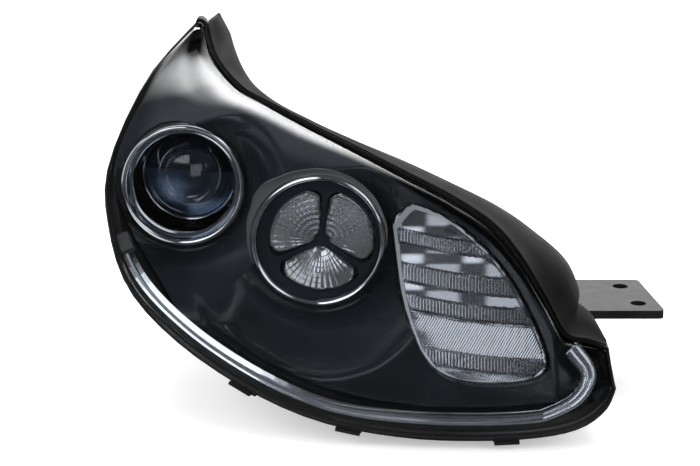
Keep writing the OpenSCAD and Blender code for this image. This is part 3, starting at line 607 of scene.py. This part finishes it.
# ---- lamps ----
def collar(looks):
    """Chrome ring round the projector, with a step inside and a fine bead."""
    profile = [(41.6, 26), (41.6, 13), (38.8, 12.2), (38.6, 11.4), (39.2, 10.6), (40.0, 10.9), (41.9, 5.6),
        (42.2, 3.0), (42.8, 1.2), (43.9, 0.2), (45.4, 0), (46.4, 0.6), (47, 2), (47, 17), (43.6, 17),
        (43.1, 26)]
    points, faces = lathe(profile, COLLAR[0], COLLAR_Y, PZ)
    new_piece("projector_chrome_collar", points, faces, looks["chrome"], "chrome_trim",
        replaces=["projector_collar"])


def high_beam_trim(looks):
    """Chrome ring with a rounded front, round the high beam."""
    r = RING_R
    profile = [(r - RING_W, 9.4), (r - RING_W, 3.2), (r - 4.0, 1.6), (r - 3.2, 0.5), (r - 2.2, 0),
        (r - 1.1, 0.4), (r - 0.3, 1.5), (r, 3), (r, 9.4)]
    points, faces = lathe(profile, HX, RING_Y, HZ)
    new_piece("high_beam_chrome_ring", points, faces, looks["chrome"], "chrome_trim",
        replaces=["high_beam_ring"])


def petal_height(r, phi, f, edge):
    """How far the optic stands out: a crown with stepped arcs and radial ribs, rounded at its rim."""
    arc = (math.hypot(r * math.cos(phi) - 4, r * math.sin(phi)) / 4.1) % 1.0
    ledge = 1.7 * (arc if arc < 0.84 else (1 - arc) * 5.2)
    rib = 0.3 * abs(math.sin(phi * 24)) * smooth((r - 9) / 10)
    return smooth(edge / 1.7) * (1.2 + 1.6 * math.sin(math.pi * f) + ledge - rib)


def petal(name, node, angle, looks):
    """Clear optic with stepped arcs about the centre of the lamp and fine radial ribs."""
    rows, cols = 120, 96
    spread = math.radians(52.5)
    gap = 2.25
    y0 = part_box(node)[0][1] / MM
    y1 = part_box(node)[1][1] / MM
    front, back = [], []
    for i in range(cols + 1):
        phi = -spread + 2 * spread * i / cols
        corner = abs(phi) / spread
        r_in = max(5.6, gap / math.sin(math.radians(60) - abs(phi))) + 1.5 * corner ** 8
        r_out = min(38.4, 28.4 / max(abs(math.sin(phi)), 0.01)) - 3.6 * corner ** 8
        r_out -= 1.6 * math.exp(-((abs(phi) - math.radians(47.7)) / 0.09) ** 2)
        for j in range(rows + 1):
            f = j / rows
            r = r_in + (r_out - r_in) * f
            a = math.radians(angle) + phi
            edge = min(f * (r_out - r_in), (1 - f) * (r_out - r_in), (spread - abs(phi)) * r)
            x, z = HUB_X + r * math.cos(a), HZ + r * math.sin(a)
            front.append(np.array([x, y0 + 3.2 - petal_height(r, phi, f, edge), z]))
            back.append(np.array([x, y1, z]))
    us, vs = list(range(cols + 1)), list(range(rows + 1))
    points, faces = skin_solid(us, vs, front, [], back)
    new_piece(name, points, faces, looks["petal_optic"], "clear_optic", replaces=[node], sharp=24.0)


def from_table(table, x):
    """Value at x of a table of (x, value), eased between its rows."""
    for (x0, a), (x1, b) in zip(table, table[1:]):
        if x <= x1:
            return a + (b - a) * smooth((x - x0) / (x1 - x0))
    return table[-1][1]


def cheek(looks):
    """The satin crescent that widens the high beam's rim from the left over its top."""
    widths = [(-6, 0.4), (20, 2.2), (45, 3.8), (70, 4.8), (95, 5.6), (118, 7.0), (133, 9.4), (140, 9.0),
        (155, 5.4), (175, 2.6), (200, 0.4)]
    # Section as (share of the width, into the lamp)
    section = [(0, 1.0), (0.25, 0.2), (0.62, -0.9), (1.0, -2.6), (1.0, -1.2), (0, 3.4)]
    points = []
    steps = 120
    for k in range(steps + 1):
        degrees = widths[0][0] + (widths[-1][0] - widths[0][0]) * k / steps
        wide = from_table(widths, degrees)
        a = math.radians(degrees)
        for share, y in section:
            r = RING_R + 0.15 + wide * share
            points.append((HX + r * math.cos(a), RING_Y + 1.4 + y * (0.3 + wide / 9), HZ + r * math.sin(a)))
    new_piece("high_beam_cheek", points, bar_faces(steps, len(section)), looks["cheek"], "chrome_trim")


def turn_sides(down):
    """Left and right edge of the turn signal at a height in its leaning frame."""
    left = [(-78, -44), (-70, -55), (-63, -57.5), (-38, -55), (-16, -52), (5, -47), (27, -39), (42, -28),
        (49, -14), (52, 4)]
    right = [(-78, -44), (-75, -35), (-67, -17), (-56, -3), (-42, 12), (-24, 26), (1, 40), (27, 51),
        (41, 53), (49, 44), (52, 20)]

    def at(table):
        for (y0, x0), (y1, x1) in zip(table, table[1:]):
            if down <= y1:
                return x0 + (x1 - x0) * (down - y0) / (y1 - y0)
        return table[-1][1]
    return at(left), at(right)


# Lips across the turn signal as (height in its leaning frame, half their width)
LIPS = [(-49, 4.8), (-23.5, 6.2), (-3.3, 5.2), (32.5, 5.4), (50.5, 2.4)]


def turn_depth(x, down):
    """How far the optic stands out: fluted lips that droop to the right, with chambers between them."""
    t = down - 0.13 * x - 3.2 * math.cos(math.radians(min(max(x * 1.6, -90), 90)))
    lip = 0.0
    for c, half in LIPS:
        lip = max(lip, smooth((half + 0.9 - abs(t - c)) / 1.8))
    flute = 0.8 * abs(math.sin(math.pi * x / 2.3))
    fine = 0.5 * abs(math.sin(math.pi * (x * 0.86 + down * 0.5) / 1.7))
    chamber = fine if t > 4 else 0.5 * math.sin(x / 7.0) + 0.3 * math.sin(down / 3.1)
    return 8.0 * lip - flute * lip + chamber * (1 - lip)


def turn_signal(looks):
    """The banded optic of the turn signal, with a lobed left edge and a rounded rim."""
    cols, rows = 230, 220
    front, back = [], []
    for i in range(cols + 1):
        f = i / cols
        for j in range(rows + 1):
            down = -77.6 + 129.0 * j / rows
            left, right = turn_sides(down)
            lobe = 2.0 * abs(math.sin((down + 12) / 8.0)) * (1 - f) ** 8
            x = left + 0.8 - lobe * 0.5 + (right - left - 1.6) * f
            edge = smooth(min(x - left, right - x, 52.5 - down, down + 79) / 3.0)
            front.append(turn_place(x, down, 12 - edge * (2 + turn_depth(x, down))))
            back.append(turn_place(x, down, 16))
    us, vs = list(range(cols + 1)), list(range(rows + 1))
    points, faces = skin_solid(us, vs, front, [], back)
    new_piece("turn_optic", points, faces, looks["clear_optic"], "clear_optic", replaces=["turn_inner_lens"],
        sharp=26.0)


# ---- light bar ----
BAR_DEPTH = 11.8
# Share of the bar's path that follows the lower edge, before it turns up
LEVEL = 0.8


def guide_up(s):
    """Share of the way up the turned-up end of the bar."""
    return max(0.0, (s - LEVEL) / (1 - LEVEL))


def guide_place(s, d):
    """(place, outward direction) d behind the lens at s along the bar, from 0 at its outer end to 1."""
    c = guide_up(s)
    u = 0.285 + 0.495 * min(s, LEVEL) / LEVEL
    edge = 10 + 3.6 * smooth((u - 0.53) / 0.12)
    v = edge / chord(u) + 0.565 * c + 0.16 * c * c
    u += 0.119 * math.sin(math.radians(134 * c))
    return under(u, v, d), station(u)[2]


def guide_line(n, start=0.0, end=1.0):
    """n + 1 places along the bar, each with its directions across the bar and into the lamp."""
    line = []
    for i in range(n + 1):
        s = start + (end - start) * i / n
        e = 0.006
        p, f = guide_place(s, BAR_DEPTH)
        t = unit(guide_place(min(s + e, 1), BAR_DEPTH)[0] - guide_place(s - e, BAR_DEPTH)[0])
        a = unit(np.cross(f, t))
        line.append((p, a, np.cross(a, t)))
    return line


def light_bar(looks):
    """Clear bar: thin at its outer end, grooved in front, flared where it turns up by the grille."""
    points = []
    steps, n = 300, 28
    for k, (p, a, b) in enumerate(guide_line(steps)):
        s = k / steps
        wide = 3.5 * (0.3 + 0.7 * smooth((s - 0.2) / 0.32)) * (1 + 0.9 * guide_up(s))
        ribs = 0.22 * (k % 2) * smooth((s - 0.3) / 0.1)
        for m in range(n):
            f = 2 * math.pi * m / n
            # A groove runs along the middle of its front
            r = wide * (1 - 0.42 * math.exp(-((math.sin((f + math.pi / 2) / 2)) / 0.12) ** 2))
            points.append(p + (r * math.cos(f)) * a + (0.8 * r * math.sin(f) + ribs) * b)
    new_piece("light_bar", points, bar_faces(steps, n), looks["clear_optic"], "clear_optic",
        replaces=["light_guide"])


def light_bar_prisms(looks):
    """Two rows of small pyramids along the front of the bar."""
    sides = [(0, 1, 2, 3), (0, 4, 1), (1, 4, 2), (2, 4, 3), (3, 4, 0)]
    prisms = []
    for p, a, b in guide_line(330, 0.3, 0.84):
        t = 0.3 * np.cross(b, a)
        for row, half in ((1.65, 0.65), (-1.75, 0.8)):
            c = p + row * a - 2.5 * b
            base = [c - t - half * a, c + t - half * a, c + t + half * a, c - t + half * a]
            prisms.append((base + [c - 0.7 * b], sides))
    new_piece("light_bar_prisms", *joined(prisms), looks["reflector"], "bright_reflector", sharp=10)


# ---- set ----
class Sky:
    """Soft windows of light painted on the sky by azimuth (0 behind the lamp, 90 at its right) and rise."""

    def __init__(self, tree):
        self.tree = tree
        where = tree.nodes.new("ShaderNodeTexCoord")
        split = tree.nodes.new("ShaderNodeSeparateXYZ")
        tree.links.new(where.outputs["Generated"], split.inputs["Vector"])
        self.turn = self.calc("ARCTAN2", split.outputs["X"], split.outputs["Y"])
        self.rise = self.calc("ARCSINE", split.outputs["Z"])

    def calc(self, operation, a, b=0.0):
        n = self.tree.nodes.new("ShaderNodeMath")
        n.operation = operation
        for socket, value in zip(n.inputs, (a, b)):
            if isinstance(value, float):
                socket.default_value = value
            else:
                self.tree.links.new(value, socket)
        return n.outputs["Value"]

    def step(self, value, at, soft, low=0.0, high=1.0):
        n = self.tree.nodes.new("ShaderNodeMapRange")
        n.interpolation_type = "SMOOTHSTEP"
        n.inputs["From Min"].default_value = math.radians(at - soft)
        n.inputs["From Max"].default_value = math.radians(at + soft)
        n.inputs["To Min"].default_value = low
        n.inputs["To Max"].default_value = high
        self.tree.links.new(value, n.inputs["Value"])
        return n.outputs["Result"]

    def between(self, value, low, high, soft):
        return self.calc("MULTIPLY", self.step(value, low, soft), self.step(value, high, soft, 1.0, 0.0))

    def window(self, left, right, bottom, top, strength, soft):
        sides = self.between(self.turn, left, right, soft)
        ends = self.between(self.rise, bottom, top, soft)
        return self.calc("MULTIPLY", self.calc("MULTIPLY", sides, ends), strength)

    def scene(self, base, windows):
        total = base
        for w in windows:
            total = self.calc("ADD", total, self.window(*w))
        return total

    def background(self, strength, colour=(1.0, 1.0, 1.0)):
        n = self.tree.nodes.new("ShaderNodeBackground")
        n.inputs["Color"].default_value = (*colour, 1.0)
        if isinstance(strength, float):
            n.inputs["Strength"].default_value = strength
        else:
            self.tree.links.new(strength, n.inputs["Strength"])
        return n.outputs["Background"]

    def mix(self, share, a, b):
        n = self.tree.nodes.new("ShaderNodeMixShader")
        self.tree.links.new(share, n.inputs["Fac"])
        self.tree.links.new(a, n.inputs[1])
        self.tree.links.new(b, n.inputs[2])
        return n.outputs["Shader"]


# Windows as (left, right, bottom, top, strength, softness), in degrees: what the lens mirrors, and what
# the bright parts behind it mirror
ROOM = [(-10, 42, -10, 52, 1.7, 9), (-34, 10, 30, 52, 3.6, 7), (-179, 179, -89, -30, 0.08, 20)]
INNER = [(-178, -120, 25, 62, 1.7, 4), (95, 140, 5, 50, 1.2, 4), (-60, 70, 42, 80, 0.9, 8),
    (-105, -75, -10, 40, 0.8, 4), (150, 178, -5, 22, 0.9, 3), (-179, 179, -89, -25, 0.16, 12)]


def studio_world():
    """Pale all round, and dark with a few soft windows wherever something shiny mirrors it."""
    world = bpy.data.worlds.new("studio")
    bpy.context.scene.world = world
    world.use_nodes = True
    tree = world.node_tree
    tree.nodes.remove(tree.nodes["Background"])
    out = next(n for n in tree.nodes if n.type == "OUTPUT_WORLD")
    sky = Sky(tree)
    room = sky.background(sky.scene(0.02, ROOM))
    inner = sky.background(sky.scene(0.05, INNER), (0.93, 0.96, 1.0))
    mirrors = sky.mix(depth_over(tree, "Transmission Depth", 2.5), room, inner)
    sky_all = sky.mix(depth_over(tree, "Glossy Depth", 0.5), sky.background(0.8), mirrors)
    tree.links.new(sky_all, out.inputs["Surface"])


def depth_over(tree, kind, limit):
    """1 for a ray that has been mirrored, or let through, more often than the limit, and 0 for any other."""
    rays = tree.nodes.new("ShaderNodeLightPath")
    test = tree.nodes.new("ShaderNodeMath")
    test.operation = "GREATER_THAN"
    test.inputs[1].default_value = limit
    tree.links.new(rays.outputs[kind], test.inputs[0])
    return test.outputs["Value"]


def pale_floor():
    """It lies just under the object and stays out of reflections, so that glossy black stays black."""
    low = cad_box[0]
    bpy.ops.mesh.primitive_plane_add(size=12.0, location=(0, 0, low[2] - 0.0005))
    floor = bpy.context.object
    floor.name = "floor"
    s = Shader("pale_floor", (0.9, 0.9, 0.9), 0.8, Specular_IOR_Level=0.0)
    s.vary_colour(1.5, (0.9, 0.9, 0.9), (0.93, 0.93, 0.93))
    s.set("Emission Color", (1.0, 1.0, 1.0, 1.0))
    s.set("Emission Strength", 0.4)
    unseen = s.node("ShaderNodeBsdfTransparent")
    mix = s.node("ShaderNodeMixShader")
    s.link(depth_over(s.tree, "Glossy Depth", 0.5), mix.inputs["Fac"])
    s.link(s.bsdf.outputs["BSDF"], mix.inputs[1])
    s.link(unseen.outputs["BSDF"], mix.inputs[2])
    s.link(mix.outputs["Shader"], s.out.inputs["Surface"])
    floor.data.materials.append(s.mat)


def softbox(name, where, target, size, watts):
    """A lamp that lights the object but is never seen, mirrored or looked at through the lens."""
    data = bpy.data.lights.new(name, "AREA")
    data.shape = "RECTANGLE"
    data.size, data.size_y = size
    data.energy = watts
    lamp = bpy.data.objects.new(name, data)
    lamp.location = where
    lamp.rotation_euler = (Vector(target) - Vector(where)).to_track_quat("-Z", "Y").to_euler()
    lamp.visible_camera = False
    lamp.visible_glossy = False
    lamp.visible_transmission = False
    bpy.context.scene.collection.objects.link(lamp)


def studio_lights():
    middle = (-0.22, -0.03, 0.06)
    softbox("top_box", (-0.25, 0.3, 1.4), middle, (1.4, 0.9), 16.0)
    softbox("left_box", (-1.3, -0.7, 0.7), middle, (0.7, 1.0), 9.0)
    softbox("right_box", (1.1, -0.9, 0.8), middle, (0.7, 1.0), 8.0)


def camera():
    """The photograph's view: straight ahead and 16 degrees above the level."""
    data = bpy.data.cameras.new("camera")
    data.sensor_width = 36.0
    data.lens = 103.37
    cam = bpy.data.objects.new("camera", data)
    target = Vector((-0.21588, -0.040, 0.06105))
    elevation = math.radians(16)
    cam.location = target + 1.5 * Vector((0, -math.cos(elevation), math.sin(elevation)))
    cam.rotation_euler = (target - cam.location).to_track_quat("-Z", "Y").to_euler()
    bpy.context.scene.collection.objects.link(cam)
    bpy.context.scene.camera = cam


bpy.context.scene.view_settings.view_transform = "Standard"
camera()
studio_world()
pale_floor()
studio_lights()
looks = make_materials()
dress_cad_nodes(looks)
outer_lens(looks)
bezel(looks)
hood_seal(looks)
collar(looks)
high_beam_trim(looks)
petal("petal_left_optic", "petal_left", 145, looks)
petal("petal_right_optic", "petal_right", 25, looks)
petal("petal_lower_optic", "petal_lower", 265, looks)
cheek(looks)
turn_signal(looks)
light_bar(looks)
light_bar_prisms(looks)
